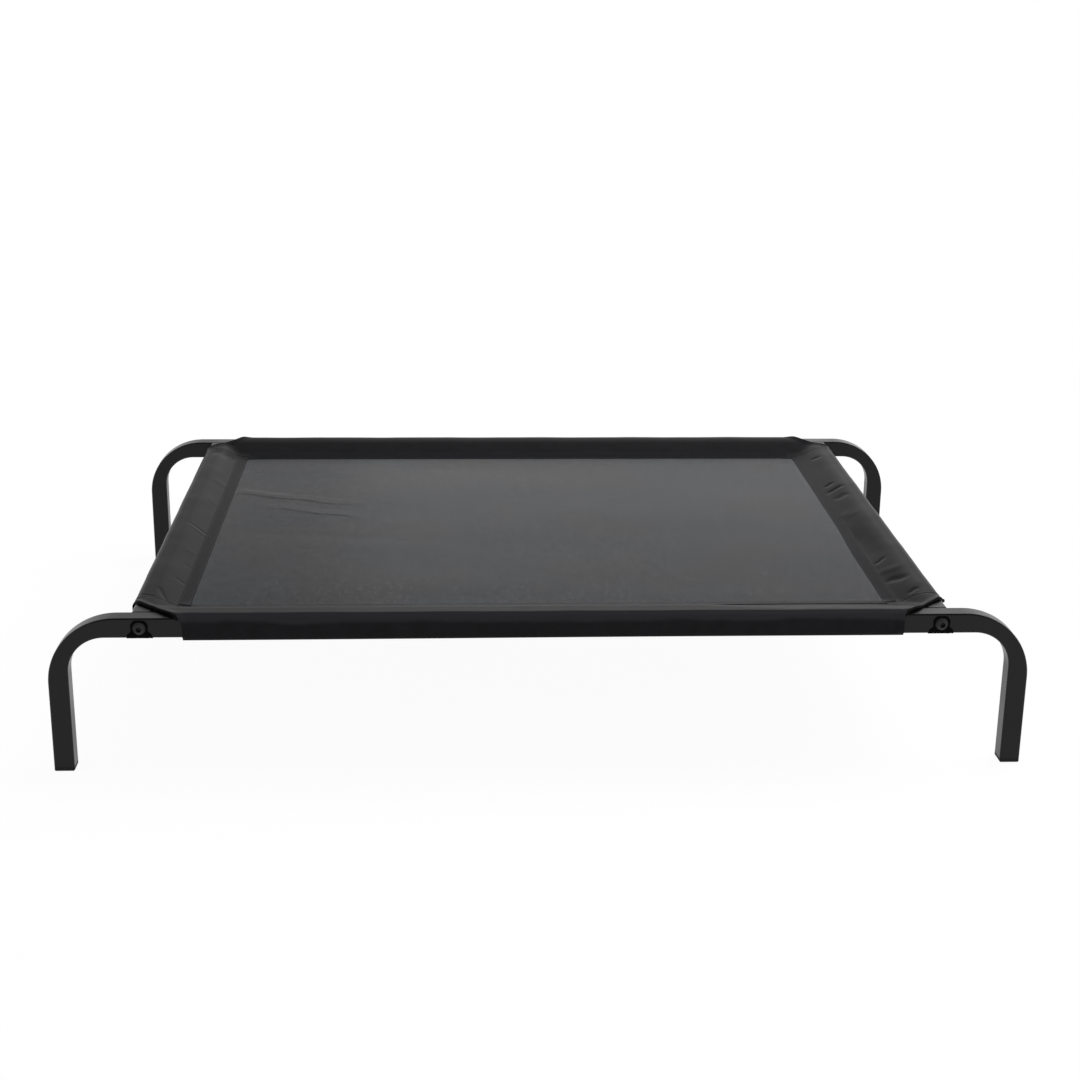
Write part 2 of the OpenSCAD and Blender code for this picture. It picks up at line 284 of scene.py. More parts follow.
def make_floor():
    """A white floor that takes a faint shadow of the cot."""
    half = FLOOR_SIZE / 2
    mesh = bpy.data.meshes.new("floor")
    corners = [(-half, -half, 0), (half, -half, 0), (half, half, 0), (-half, half, 0)]
    mesh.from_pydata(corners, [], [(0, 1, 2, 3)])
    floor = new_object("floor", mesh)
    material, tree, place = new_material("white_studio_floor")
    reach = add(tree, "ShaderNodeVectorMath", {0: place}, operation="LENGTH")
    share = add(tree, "ShaderNodeMapRange",
                {"Value": reach.outputs["Value"], "From Min": FLOOR_NEAR, "From Max": FLOOR_FAR,
                 "To Min": SHADOW_LIFT, "To Max": 1.0}, interpolation_type="SMOOTHSTEP")
    seen = add(tree, "ShaderNodeMath", {0: share.outputs[0], 1: backdrop_rays(tree)}, operation="MULTIPLY")
    paint = add(tree, "ShaderNodeBsdfDiffuse", {"Color": colour(FLOOR_WHITE)})
    white = add(tree, "ShaderNodeEmission", {"Color": colour("#ffffff"), "Strength": 1.0})
    mix = add(tree, "ShaderNodeMixShader", {0: seen.outputs[0], 1: paint.outputs[0], 2: white.outputs[0]})
    add(tree, "ShaderNodeOutputMaterial", {"Surface": mix.outputs[0]})
    mesh.materials.append(material)


# Materials. A node that mixes colours has its share at input 0, its colours at 6 and 7, and gives output 2.

def new_material(name):
    """An empty material with its tree, and the place on the object that its patterns follow."""
    material = bpy.data.materials.new(name)
    material.use_nodes = True
    tree = material.node_tree
    tree.nodes.clear()
    return material, tree, add(tree, "ShaderNodeTexCoord").outputs["Object"]


def shade(tree, values):
    """A material's shader with its inputs, joined to the output."""
    shader = add(tree, "ShaderNodeBsdfPrincipled", values)
    add(tree, "ShaderNodeOutputMaterial", {"Surface": shader.outputs[0]})


def grained(tree, place, grain_mm, detail, dark, light, smoothest, roughest, grain_range=(0, 1)):
    """A grain of this size in the object: its height, its tone from dark to light, and its roughness."""
    grain = add(tree, "ShaderNodeTexNoise",
                {"Vector": place, "Scale": 1 / (grain_mm * MM), "Detail": detail})
    tone = add(tree, "ShaderNodeMix", {0: grain.outputs[0], 6: colour(dark), 7: colour(light)},
               data_type="RGBA")
    rough = add(tree, "ShaderNodeMapRange",
                {"Value": grain.outputs[0], "From Min": grain_range[0], "From Max": grain_range[1],
                 "To Min": smoothest, "To Max": roughest})
    return grain.outputs[0], tone.outputs[2], rough.outputs[0]


def powder_coated_steel():
    """Mild steel tube, sprayed and baked: black, semi-gloss, with a faint orange peel."""
    peel_mm, patch_mm = 1.6, 60
    material, tree, place = new_material("powder_coated_steel")
    peel = add(tree, "ShaderNodeTexNoise", {"Vector": place, "Scale": 1 / (peel_mm * MM), "Detail": 1.0})
    _, tone, rough = grained(tree, place, patch_mm, 4.0, "#070606", "#0b0a0a", 0.24, 0.36,
                             grain_range=(0.3, 0.7))
    bump = add(tree, "ShaderNodeBump", {"Height": peel.outputs[0], "Strength": 0.12, "Distance": 0.1 * MM})
    shade(tree, {"Base Color": tone, "Roughness": rough, "Normal": bump.outputs[0],
                 "Specular IOR Level": 0.23})
    return material


def zinc_plated_steel():
    """Cold-rolled steel with bright zinc: a cool grey metal with cloudy spangle."""
    spangle_mm = 5
    material, tree, place = new_material("zinc_plated_steel")
    _, tone, rough = grained(tree, place, spangle_mm, 3.0, "#9a9ca0", "#c2c4c6", 0.25, 0.45)
    shade(tree, {"Base Color": tone, "Roughness": rough, "Metallic": 1.0})
    return material


def black_oxide_steel():
    """Alloy steel bolt blackened in a hot salt bath: dull dark grey with a fine forged grain.
    The inside of its socket is painted near black: painted shade in the recess."""
    grain_mm, socket_mm, socket_edge_mm = 0.9, 2.6, 3.3
    material, tree, place = new_material("black_oxide_steel")
    grain, tone, rough = grained(tree, place, grain_mm, 2.0, "#1b1919", "#2b2929", 0.42, 0.62)
    same_side = add(tree, "ShaderNodeVectorMath", {0: place}, operation="ABSOLUTE")
    from_bolt = add(tree, "ShaderNodeVectorMath",
                    {0: same_side.outputs[0], 1: ((BAR_IN + BAR_OUT) / 2, 0, AXIS_Z)}, operation="SUBTRACT")
    across = add(tree, "ShaderNodeVectorMath", {0: from_bolt.outputs[0], 1: (1, 0, 1)}, operation="MULTIPLY")
    reach = add(tree, "ShaderNodeVectorMath", {0: across.outputs[0]}, operation="LENGTH")
    # Painted shade: the socket in the middle of the head is coloured near black.
    head = add(tree, "ShaderNodeMapRange",
               {"Value": reach.outputs["Value"], "From Min": socket_mm * MM,
                "From Max": socket_edge_mm * MM})
    socket_shaded_tone = add(tree, "ShaderNodeMix", {0: head.outputs[0], 6: colour("#030303"), 7: tone},
                 data_type="RGBA")
    bump = add(tree, "ShaderNodeBump", {"Height": grain, "Strength": 0.15, "Distance": 0.1 * MM})
    shade(tree, {"Base Color": socket_shaded_tone.outputs[2], "Roughness": rough, "Normal": bump.outputs[0],
                 "Specular IOR Level": 0.2})
    return material


def bolt_shade_sheet():
    """Painted shade: a black matt sheet with a fine mottled grain, put where shade falls round the bolt
    heads.
    """
    bloom_mm = 3
    material, tree, place = new_material("bolt_shade_sheet")
    _, tone, rough = grained(tree, place, bloom_mm, 3.0, "#040404", "#0a0909", 0.6, 0.8)
    shade(tree, {"Base Color": tone, "Roughness": rough, "Specular IOR Level": 0.02})
    return material


def moulded_plastic():
    """Injection-moulded black polyethylene: waxy, with a spark-eroded grain."""
    grain_mm = 0.7
    material, tree, place = new_material("moulded_plastic")
    grain, tone, rough = grained(tree, place, grain_mm, 2.0, "#0c0c0c", "#141414", 0.45, 0.65)
    bump = add(tree, "ShaderNodeBump", {"Height": grain, "Strength": 0.2, "Distance": 0.1 * MM})
    shade(tree, {"Base Color": tone, "Roughness": rough, "Normal": bump.outputs[0],
                 "Specular IOR Level": 0.15})
    return material


def coated_open_mesh():
    """Polyester yarn coated with black vinyl and woven open: small square holes, cloudy tone, uneven yarns.
    The real holes are about 1 mm apart; they are drawn twice as coarse, so that they show."""
    pitch_mm, open_share, soft_edge = 2.2, 0.28, 0.1
    cloud_mm, cloud_share, tint_mm = 35, 0.5, 150
    slub_mm, slub_run_mm, slub_share = 5, 15, 0.1
    drift_mm, drift_run_mm = 0.5, 30
    material, tree, place = new_material("coated_open_mesh")
    along_yarn = add(tree, "ShaderNodeMapping",
                     {"Vector": place, "Scale": (1 / (slub_mm * MM), 1 / (slub_run_mm * MM), 1.0)})
    slub = add(tree, "ShaderNodeTexNoise", {"Vector": along_yarn.outputs[0], "Scale": 1.0, "Detail": 2.0})
    drift = add(tree, "ShaderNodeTexNoise",
                {"Vector": place, "Scale": 1 / (drift_run_mm * MM), "Detail": 2.0})
    drift_size = [2 * drift_mm * MM] * 3
    laid = add(tree, "ShaderNodeVectorMath", {0: drift.outputs["Color"], 1: drift_size, 2: place},
               operation="MULTIPLY_ADD")
    split = add(tree, "ShaderNodeSeparateXYZ", {0: laid.outputs[0]})
    half = pitch_mm * MM / 2
    edge = half * (1 - open_share - slub_share / 2)
    between = []
    for axis in (0, 1):
        wave = add(tree, "ShaderNodeMath", {0: split.outputs[axis], 1: half}, operation="PINGPONG")
        thick = add(tree, "ShaderNodeMath", {0: slub.outputs[0], 1: -slub_share * half, 2: wave.outputs[0]},
                    operation="MULTIPLY_ADD")
        gap = add(tree, "ShaderNodeMapRange",
                  {"Value": thick.outputs[0], "From Min": edge * (1 - soft_edge),
                   "From Max": edge * (1 + soft_edge)}, interpolation_type="SMOOTHSTEP")
        between.append((wave.outputs[0], gap.outputs[0]))
    hole = add(tree, "ShaderNodeMath", {0: between[0][1], 1: between[1][1]}, operation="MULTIPLY")
    solid = add(tree, "ShaderNodeMath", {0: 1.0, 1: hole.outputs[0]}, operation="SUBTRACT")
    yarn = add(tree, "ShaderNodeMath", {0: between[0][0], 1: between[1][0]}, operation="MINIMUM")
    cloud = add(tree, "ShaderNodeTexNoise", {"Vector": place, "Scale": 1 / (cloud_mm * MM), "Detail": 5.0,
                                             "Roughness": 0.7})
    fleck = add(tree, "ShaderNodeMapRange", {"Value": slub.outputs[0], "From Min": 0.3, "From Max": 0.7,
                                             "To Max": 0.3})
    uneven = add(tree, "ShaderNodeMath", {0: cloud.outputs[0], 1: cloud_share, 2: fleck.outputs[0]},
                 operation="MULTIPLY_ADD")
    patch = add(tree, "ShaderNodeTexNoise", {"Vector": place, "Scale": 1 / (tint_mm * MM), "Detail": 2.0})
    tint = add(tree, "ShaderNodeMapRange", {"Value": patch.outputs[0], "From Min": 0.35, "From Max": 0.65})
    shades = []
    for cool, warm in (("#13171a", "#171718"), ("#2a2f34", "#312f32")):
        tinted = add(tree, "ShaderNodeMix", {0: tint.outputs[0], 6: colour(cool), 7: colour(warm)},
                     data_type="RGBA")
        shades.append(tinted.outputs[2])
    tone = add(tree, "ShaderNodeMix", {0: uneven.outputs[0], 6: shades[0], 7: shades[1]}, data_type="RGBA")
    bump = add(tree, "ShaderNodeBump", {"Height": yarn.outputs[0], "Strength": 0.06, "Distance": 0.5},
               invert=True)
    sheen = add(tree, "ShaderNodeMapRange", {"Value": slub.outputs[0], "From Min": 0.3, "From Max": 0.7,
                                             "To Min": 0.042, "To Max": 0.051})
    shade(tree, {"Base Color": tone.outputs[2], "Roughness": 0.22, "Specular IOR Level": sheen.outputs[0],
                 "Alpha": solid.outputs[0], "Normal": bump.outputs[0]})
    return material


def paint_shoulder_sheen(tree, place, tone):
    """Painted sheen: the cloth's colour made paler along the outer shoulder of the long rails, where a soft
    highlight falls, with a wavy lower edge.
    """
    wave_mm, wave_high_mm, fade_mm = 60, 9, 5
    sheen_from_mm, sheen_all_mm = 1, 5
    split = add(tree, "ShaderNodeSeparateXYZ", {0: place})
    across = add(tree, "ShaderNodeMath", {0: split.outputs["Y"]}, operation="ABSOLUTE")
    shoulder_in = RAIL_OUT + SIDE_PAST - SIDE_SHOULDER
    outside = add(tree, "ShaderNodeMapRange",
                  {"Value": across.outputs[0], "From Min": shoulder_in + sheen_from_mm * MM,
                   "From Max": shoulder_in + sheen_all_mm * MM})
    wave = add(tree, "ShaderNodeTexNoise", {"Vector": place, "Scale": 1 / (wave_mm * MM), "Detail": 2.0})
    height = add(tree, "ShaderNodeMath", {0: wave.outputs[0], 1: wave_high_mm * MM, 2: split.outputs["Z"]},
                 operation="MULTIPLY_ADD")
    low = AXIS_Z + wave_high_mm * MM
    above = add(tree, "ShaderNodeMapRange",
                {"Value": height.outputs[0], "From Min": low, "From Max": low + fade_mm * MM},
                interpolation_type="SMOOTHSTEP")
    share = add(tree, "ShaderNodeMath", {0: outside.outputs[0], 1: above.outputs[0]}, operation="MULTIPLY")
    # The paler colour here is painted sheen.
    painted_sheen = add(tree, "ShaderNodeMix", {0: share.outputs[0], 6: tone, 7: colour("#242427")},
                 data_type="RGBA")
    return painted_sheen.outputs[2]


def woven_cloth(name, dark, light, thread_mm, shine, painted_sheen=False):
    """Polyester yarn in a plain weave, laid out on the piece's own UV map, in metres along the cloth.
    The threads are drawn two to three times as coarse as they are, so that they show."""
    slub_mm, weave_share = 18, 0.25
    material, tree, place = new_material(name)
    along = add(tree, "ShaderNodeUVMap").outputs[0]
    split = add(tree, "ShaderNodeSeparateXYZ", {0: along})
    waves = []
    for axis in (0, 1):
        turns = add(tree, "ShaderNodeMath", {0: split.outputs[axis], 1: math.pi / (thread_mm * MM)},
                    operation="MULTIPLY")
        wave = add(tree, "ShaderNodeMath", {0: turns.outputs[0]}, operation="SINE")
        waves.append(wave.outputs[0])
    weave = add(tree, "ShaderNodeMath", {0: waves[0], 1: waves[1]}, operation="MULTIPLY")
    slub = add(tree, "ShaderNodeTexNoise", {"Vector": along, "Scale": 1 / (slub_mm * MM), "Detail": 6.0,
                                            "Roughness": 0.65})
    mixed = add(tree, "ShaderNodeMath", {0: weave.outputs[0], 1: weave_share, 2: slub.outputs[0]},
                operation="MULTIPLY_ADD")
    tone = add(tree, "ShaderNodeMix", {0: mixed.outputs[0], 6: colour(dark), 7: colour(light)},
               data_type="RGBA")
    gloss = add(tree, "ShaderNodeMapRange", {"Value": slub.outputs[0], "To Min": 0.27, "To Max": 0.37})
    bump = add(tree, "ShaderNodeBump", {"Height": weave.outputs[0], "Strength": 0.1, "Distance": 0.15 * MM})
    # The pocket cloth gets painted sheen along the long rails' outer shoulders.
    tone_and_sheen = paint_shoulder_sheen(tree, place, tone.outputs[2]) if painted_sheen else tone.outputs[2]
    shade(tree, {"Base Color": tone_and_sheen, "Roughness": gloss.outputs[0], "Normal": bump.outputs[0],
                 "Specular IOR Level": shine})
    return material


def sewing_thread():
    """Bonded black polyester thread: twisted, with a slight shine."""
    twist_mm = 1.2
    material, tree, place = new_material("sewing_thread")
    twist = add(tree, "ShaderNodeTexNoise", {"Vector": place, "Scale": 1 / (twist_mm * MM)})
    tone = add(tree, "ShaderNodeMix", {0: twist.outputs[0], 6: colour("#111112"), 7: colour("#202022")},
               data_type="RGBA")
    shade(tree, {"Base Color": tone.outputs[2], "Roughness": 0.5})
    return material


# Shape of the cover

def soft_min(a, b, blend):
    """The lower of two heights, rounded where they meet."""
    near = np.maximum(blend - np.abs(a - b), 0) / blend
    return np.minimum(a, b) - near * near * blend / 4


def soft_max(a, b, blend):
    """The higher of two heights, rounded where they meet."""
    return -soft_min(-a, -b, blend)


def smooth(value, start, end):
    """0 before start, 1 past end, and a smooth rise between."""
    share = np.clip((value - start) / (end - start), 0, 1)
    return share * share * (3 - 2 * share)


def drop(past_edge, shoulder):
    """How far cloth has turned down, this far along a shoulder of that radius. It stops short of upright."""
    furthest = 0.98 * shoulder
    inside = np.clip(past_edge, 0, furthest)
    return shoulder - np.sqrt(shoulder ** 2 - inside ** 2)


def flat_front(x, y):
    """1 along the front, where the cover is pulled flatter, and 0 at its right end and along the rear."""
    return np.where(y < 0, 1 - smooth(x, FLAT_FRONT_TO, STEEP_FRONT_FROM), 0)


def side_tape_slope(x, y):
    """How steeply the tape on a long side rises at this place."""
    return SIDE_TAPE_SLOPE + (FRONT_TAPE_SLOPE - SIDE_TAPE_SLOPE) * flat_front(x, y)


def cover_top(x, y):
    """Height of the middle of the cloth: over the bars and rails, and down to the seam with the mesh."""
    end_shoulder = np.where(x < 0, END_SHOULDER[LEFT], END_SHOULDER[RIGHT])
    end_out = BAR_OUT + np.where(x < 0, END_PAST[LEFT], END_PAST[RIGHT])
    end_top = END_TOP - drop(np.abs(x) - end_out + end_shoulder, end_shoulder)
    past_shoulder = np.abs(y) - RAIL_OUT - SIDE_PAST + SIDE_SHOULDER
    side_lean = np.where(y < 0, FRONT_LEAN, 0) * np.maximum(-past_shoulder, 0)
    side_top = SIDE_TOP - side_lean - drop(past_shoulder, SIDE_SHOULDER)
    end_tape = END_TAPE_HIGH - END_TAPE_SLOPE * (END_TAPE_OUT - np.abs(x))
    to_bar = END_TOP - END_SLOPE * (BAR_CREST - np.abs(x))
    over_bar = soft_min(end_top, soft_max(end_tape, to_bar, SEAM_ROUND), CREST_ROUND)
    tape_slope = side_tape_slope(x, y)
    side_tape_high = TAPE_FOOT_Z - TAPE_OVER_CLOTH + tape_slope * (SIDE_TAPE_OUT - SIDE_TAPE_IN)
    side_tape = side_tape_high - tape_slope * (SIDE_TAPE_OUT - np.abs(y))
    rail_crest = RAIL_CREST + (FRONT_RAIL_CREST - RAIL_CREST) * flat_front(x, y)
    side_slope = (SIDE_TOP - side_tape_high) / (rail_crest - SIDE_TAPE_OUT)
    to_rail = SIDE_TOP - side_slope * (rail_crest - np.abs(y))
    rail_round = CREST_ROUND + (FRONT_CREST_ROUND - CREST_ROUND) * flat_front(x, y)
    over_rail = soft_min(side_top, soft_max(side_tape, to_rail, SEAM_ROUND), rail_round)
    return soft_max(over_bar, over_rail, VALLEY_ROUND)


# Creases in the end pockets: two ends, in mm from the bed's middle, then width and height.
# A crease with a height below zero is a valley.
CREASES = [
    ((-421, -36), (-396, -54), 1.9, -0.45),
    ((-420, -42), (-397, -60), 3.0, 0.2),
    ((-411, -229), (-399, -238), 1.9, -0.4),
    ((-423, -274), (-410, -307), 2.4, -0.5),
    ((-439, -299), (-422, -304), 2.4, -0.4),
    ((-417, 290), (-400, 288), 15, -1.6),
    ((-432, 292), (-420, 291), 12, -0.8),
    ((-415, 168), (-400, 150), 7.0, 0.2),
    ((-412, 84), (-401, 66), 6.0, 0.16),
    ((-412, -128), (-402, -133), 4.0, 0.16),
    ((-409, -176), (-401, -184), 3.0, -0.14),
    ((408, 269), (419, 265), 4.5, -0.7),
    ((403, 139), (413, 145), 4.0, -0.9),
    ((401, 114), (421, 121), 4.2, -1.1),
    ((406, 79), (420, 86), 7.0, -0.7),
    ((400, 20), (414, 0), 10, 0.4),
    ((398, -55), (412, -165), 13, -1.3),
    ((401, -178), (412, -168), 3.2, -0.8),
    ((399, -205), (420, -214), 8.0, 0.6),
    ((402, -236), (419, -249), 6.5, -1.2),
    ((412, -296), (423, -286), 3.4, -0.9),
    ((428, -276), (421, -306), 4.0, -0.5),
]
# Slack wrinkles of the mesh where it leaves the left seam, in the same form
WRINKLES = [
    ((-383, 133), (-227, 77), 3.0, 0.3),
    ((-383, 141), (-221, 86), 9, 0.22),
    ((-383, 143), (-320, 120), 7, 0.2),
    ((-324, 64), (-216, 24), 3.0, 0.26),
    ((-324, 72), (-216, 32), 8, 0.18),
    ((-354, -41), (-138, -71), 14, -0.14),
]
# How far these wrinkles wander to and fro, and over what length
WRINKLE_WANDER, WRINKLE_WAVE = 2.2 * MM, 75 * MM


def creases(x, y, folds=CREASES, wander=0):
    """Rise and fall of cloth along its creases, fading towards the ends of each. Wander makes them wavy."""
    fade_past, fade_in = 0.25, 0.3
    total = np.zeros(np.broadcast(x, y).shape)
    for start, end, width, height in folds:
        sx, sy = start[0] * MM, start[1] * MM
        dx, dy = end[0] * MM - sx, end[1] * MM - sy
        length = math.hypot(dx, dy)
        along = ((x - sx) * dx + (y - sy) * dy) / length
        across = ((x - sx) * dy - (y - sy) * dx) / length
        across = across + wander * np.sin(2 * math.pi * along / WRINKLE_WAVE)
        begins = smooth(along, -fade_past * length, fade_in * length)
        ends = smooth(along, (1 - fade_in) * length, (1 + fade_past) * length)
        total += height * MM * begins * (1 - ends) * np.exp(-(across / (width * MM)) ** 2)
    return total


# Slow waves of cloth that is pulled over a tube: waves per metre along and across, start angle, height
PULL_LIFT = 0.2 * MM
PULL_WAVES = [(7, 3, 0.3, 0.14), (15, -7, 1.9, 0.06), (27, 12, 4.1, 0.02)]


def pull(along, across):
    """Slow uneven waves of hand-sewn cloth."""
    total = np.zeros(np.broadcast(along, across).shape)
    for turns_along, turns_across, start, height in PULL_WAVES:
        angle = 2 * math.pi * (turns_along * along + turns_across * across) + start
        total += height * MM * np.sin(angle)
    return total


def from_cut(x, y):
    """How far a point of a flap lies inside the flap's 45 degree cut."""
    out = np.where(x < 0, FLAP_OUT_X[LEFT], FLAP_OUT_X[RIGHT])
    run = np.hypot(out - FLAP_END_X, RAIL_OUT - FLAP_OUT_Y)
    across = (out - np.abs(x)) * (RAIL_OUT - FLAP_OUT_Y) - (np.abs(y) - FLAP_OUT_Y) * (out - FLAP_END_X)
    return across / run


def slack(x, y):
    """How far the cloth stands off its even shape: creases, slow waves and the lifted edge of the flaps."""
    end_from, end_all = SIDE_HALF - 12 * MM, SIDE_HALF + 6 * MM
    seam_width, flap_edge = 15 * MM, 12 * MM
    on_end = smooth(np.abs(x), end_from, end_all)
    past_end_seam = smooth(np.abs(x), END_TAPE_OUT, END_TAPE_OUT + seam_width)
    past_side_seam = smooth(np.abs(y), SIDE_TAPE_OUT, SIDE_TAPE_OUT + seam_width)
    waves = PULL_LIFT + on_end * pull(y, x) + (1 - on_end) * pull(x, y)
    waves *= np.maximum(past_end_seam, past_side_seam)
    on_flap = smooth(np.abs(y), SIDE_CLOTH_IN, SIDE_CLOTH_IN + flap_edge)
    lift = CUT_LIFT * on_flap * (1 - smooth(from_cut(x, y), 0, CUT_LIFT_REACH))
    return creases(x, y) + waves + lift


def rounded_line(corners, step):
    """Points along straight lines between corners (across, up, radius), each corner an arc."""
    arc_parts, shortest = 6, 0.01 * MM
    points = [np.array(corners[0][:2])]
    for before, corner, after in zip(corners, corners[1:], corners[2:]):
        here = np.array(corner[:2])
        back = np.array(before[:2]) - here
        ahead = np.array(after[:2]) - here
        back /= np.linalg.norm(back)
        ahead /= np.linalg.norm(ahead)
        half = math.acos(np.clip(back @ ahead, -1, 1)) / 2
        middle = (back + ahead) / np.linalg.norm(back + ahead)
        centre = here + middle * corner[2] / math.sin(half)
        first = here + back * corner[2] / math.tan(half) - centre
        last = here + ahead * corner[2] / math.tan(half) - centre
        turn = math.pi - 2 * half
        for part in range(arc_parts + 1):
            share = part / arc_parts
            points.append(centre + (math.sin((1 - share) * turn) * first + math.sin(share * turn) * last)
                          / math.sin(turn))
    points.append(np.array(corners[-1][:2]))
    line = [points[0]]
    for start, end in zip(points, points[1:]):
        length = np.linalg.norm(end - start)
        if length > shortest:
            parts = max(1, round(length / step))
            line += [start + (end - start) * part / parts for part in range(1, parts + 1)]
    return np.array(line)


def line_lengths(line):
    """Length along a line at each of its points."""
    return np.concatenate([[0], np.cumsum(np.linalg.norm(np.diff(line, axis=0), axis=1))])


def grid_mesh(name, points, uv):
    """A sheet from a grid of points (rows, columns, 3) with a UV of the same grid."""
    rows, columns = points.shape[:2]
    index = np.arange(rows * columns).reshape(rows, columns)
    faces = np.stack([index[:-1, :-1], index[1:, :-1], index[1:, 1:], index[:-1, 1:]], axis=-1)
    faces = faces.reshape(-1, 4)
    mesh = bpy.data.meshes.new(name)
    mesh.from_pydata(points.reshape(-1, 3).tolist(), [], faces.tolist())
    layer = mesh.uv_layers.new(name="cloth")
    flat = uv.reshape(-1, 2)[faces.reshape(-1)]
    layer.data.foreach_set("uv", flat.reshape(-1))
    mesh.shade_smooth()
    return mesh


def dress(piece, material, slot, *nodes):
    """Gives a finished piece its material and its body, and hides the frame's nodes that it stands for. Its
    slot is not used.
    """
    piece.data.materials.clear()
    piece.data.materials.append(material)
    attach(piece, "root")
    if nodes:
        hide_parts(*nodes)
    return piece


def make_plain(piece):
    """Turns a piece with a modifier into one plain mesh."""
    whole = bpy.data.meshes.new_from_object(piece.evaluated_get(bpy.context.evaluated_depsgraph_get()))
    piece.modifiers.clear()
    piece.data = whole


def sheet_piece(name, points, uv, thickness, material, slot, node):
    """A sheet from its grid of points, starting face up: half its thickness to each side, and crisp edges."""
    mesh = grid_mesh(name, points, uv)
    if mesh.polygons[0].normal.z < 0:
        mesh.flip_normals()
    piece = new_object(name, mesh)
    wall = piece.modifiers.new("thickness", "SOLIDIFY")
    wall.thickness = thickness
    wall.offset = 0
    make_plain(piece)
    piece.data.set_sharp_from_angle(angle=CUT_EDGE_ANGLE)
    return dress(piece, material, slot, node)


def even_steps(start, end, step):
    """Places from start to end, as near to this step as an even number of parts allows."""
    return np.linspace(start, end, max(2, round(abs(end - start) / step) + 1))


WRAP_STEP = 2.5 * MM


def wrap_line(out, shoulder, top, crest, seam_out, seam_in):
    """Section of a pocket from the top of its tube, round the outer face and back under to the seam."""
    return rounded_line([
        (out - shoulder, top),
        (out, top, shoulder),
        (out, UNDER_Z, UNDER_BEND),
        (crest, UNDER_Z, UNDER_BEND),
        (seam_out, SEAM_UNDER_Z, UNDER_BEND),
        (seam_in, SEAM_UNDER_Z),
    ], WRAP_STEP)


def facing(across, up, out, shoulder):
    """Which way the cloth faces along a section: shares outwards and upwards, none for its underside."""
    close = 0.1 * MM
    lean = np.clip((across - out + shoulder) / shoulder, 0, 1)
    above = up > AXIS_Z
    on_face = across > out - close
    outwards = np.where(above, lean, np.where(on_face, 1.0, 0.0))
    upwards = np.where(above, np.sqrt(1 - lean ** 2), 0.0)
    return outwards, upwards


def section(top_across, top_up, wrap, out, shoulder):
    """A pocket's section: across, up, whether on top, shares it faces outwards and upwards, and lengths."""
    across = np.concatenate([top_across, wrap[1:, 0]])
    up = np.concatenate([top_up, wrap[1:, 1]])
    on_top = np.arange(len(across)) < len(top_across)
    lengths = line_lengths(np.stack([across, up], axis=-1))
    return across, up, on_top, *facing(across, up, out, shoulder), lengths


def make_end_pocket(side, cloth):
    """One end pocket: cloth sewn to the mesh, up over the cross bar, round it and back under."""
    top_step, along_step, end_step = 1.2 * MM, 1.4 * MM, 0.75 * MM
    near_ends = 0.965
    tuck_from, tuck_all = SIDE_CLOTH_IN - 0.6 * MM, SIDE_CLOTH_IN + 1.5 * MM
    out = BAR_OUT + END_PAST[side]
    wrap = wrap_line(out, END_SHOULDER[side], END_TOP, BAR_CREST, END_TAPE_OUT, END_CLOTH_IN)
    top_across = even_steps(END_CLOTH_IN, wrap[0, 0], top_step)
    across, up, on_top, outwards, upwards, lengths = section(
        top_across, cover_top(side * top_across, 0), wrap, out, END_SHOULDER[side])
    reach = END_TUCK + (END_OUTSIDE - END_TUCK) * smooth(1 - upwards, 0, 1)
    middle = even_steps(-near_ends, near_ends, along_step / END_TUCK)
    fine = even_steps(near_ends, 1, end_step / END_TUCK)[1:]
    share = np.concatenate([-fine[::-1], middle, fine])
    y = share[:, None] * reach
    x = side * np.broadcast_to(across, y.shape)
    tuck = (CLOTH + LAYER_GAP) * smooth(np.abs(y), tuck_from, tuck_all) * upwards
    edge = EDGE_RISE * outwards * smooth(np.abs(y), reach - EDGE_WIDTH, reach - EDGE_WIDTH + EDGE_STEP)
    off = slack(x, y) + edge - tuck
    base = np.where(on_top, cover_top(x, y), up)
    points = np.stack([x + side * off * outwards, y, base + off * upwards], axis=-1)
    uv = np.stack([y, np.broadcast_to(lengths, y.shape)], axis=-1)
    name = END_NAMES[side] + "_end_pocket"
    piece = sheet_piece(name + "_cloth", points, uv, CLOTH, cloth, "pocket_cloth", name)


def flap_reach(across, end):
    """How far a side pocket's cloth runs from the bed's middle to its cut, at this distance across."""
    share = np.clip((across - FLAP_OUT_Y) / (RAIL_OUT - FLAP_OUT_Y), 0, 1)
    return FLAP_OUT_X[end] + (FLAP_END_X - FLAP_OUT_X[end]) * share


def hem_tube(side, end):
    """Points round the rolled hem of one flap, ring by ring from the cross bar to the long rail."""
    rings, sides = 40, 10
    share = np.linspace(0, 1, rings)[:, None]
    round_angle = np.linspace(0, 2 * math.pi, sides, endpoint=False)
    along = np.array([FLAP_END_X - FLAP_OUT_X[end], RAIL_OUT - FLAP_OUT_Y])
    inwards = np.array([along[1], -along[0]]) / -np.linalg.norm(along)
    x = end * (FLAP_OUT_X[end] + along[0] * share)
    y = side * (FLAP_OUT_Y + along[1] * share)
    slow_swell = 0.12 * np.sin(9 * share + end)
    quick_swell = 0.08 * np.sin(23 * share + 2 * side)
    uneven = 1 + slow_swell + quick_swell
    z = cover_top(x, y) + slack(x, y) - HEM_UNDER
    width = HEM_HALF_WIDTH * uneven * np.cos(round_angle)
    height = HEM_HALF_HEIGHT * uneven * np.sin(round_angle)
    return np.stack([x + end * inwards[0] * width, y + side * inwards[1] * width, z + height], axis=-1)


def skin(shape, rings):
    """Faces from each ring of points to the next."""
    for ring, after in zip(rings, rings[1:]):
        for here in range(len(ring)):
            beside = (here + 1) % len(ring)
            shape.faces.new((ring[here], ring[beside], after[beside], after[here]))


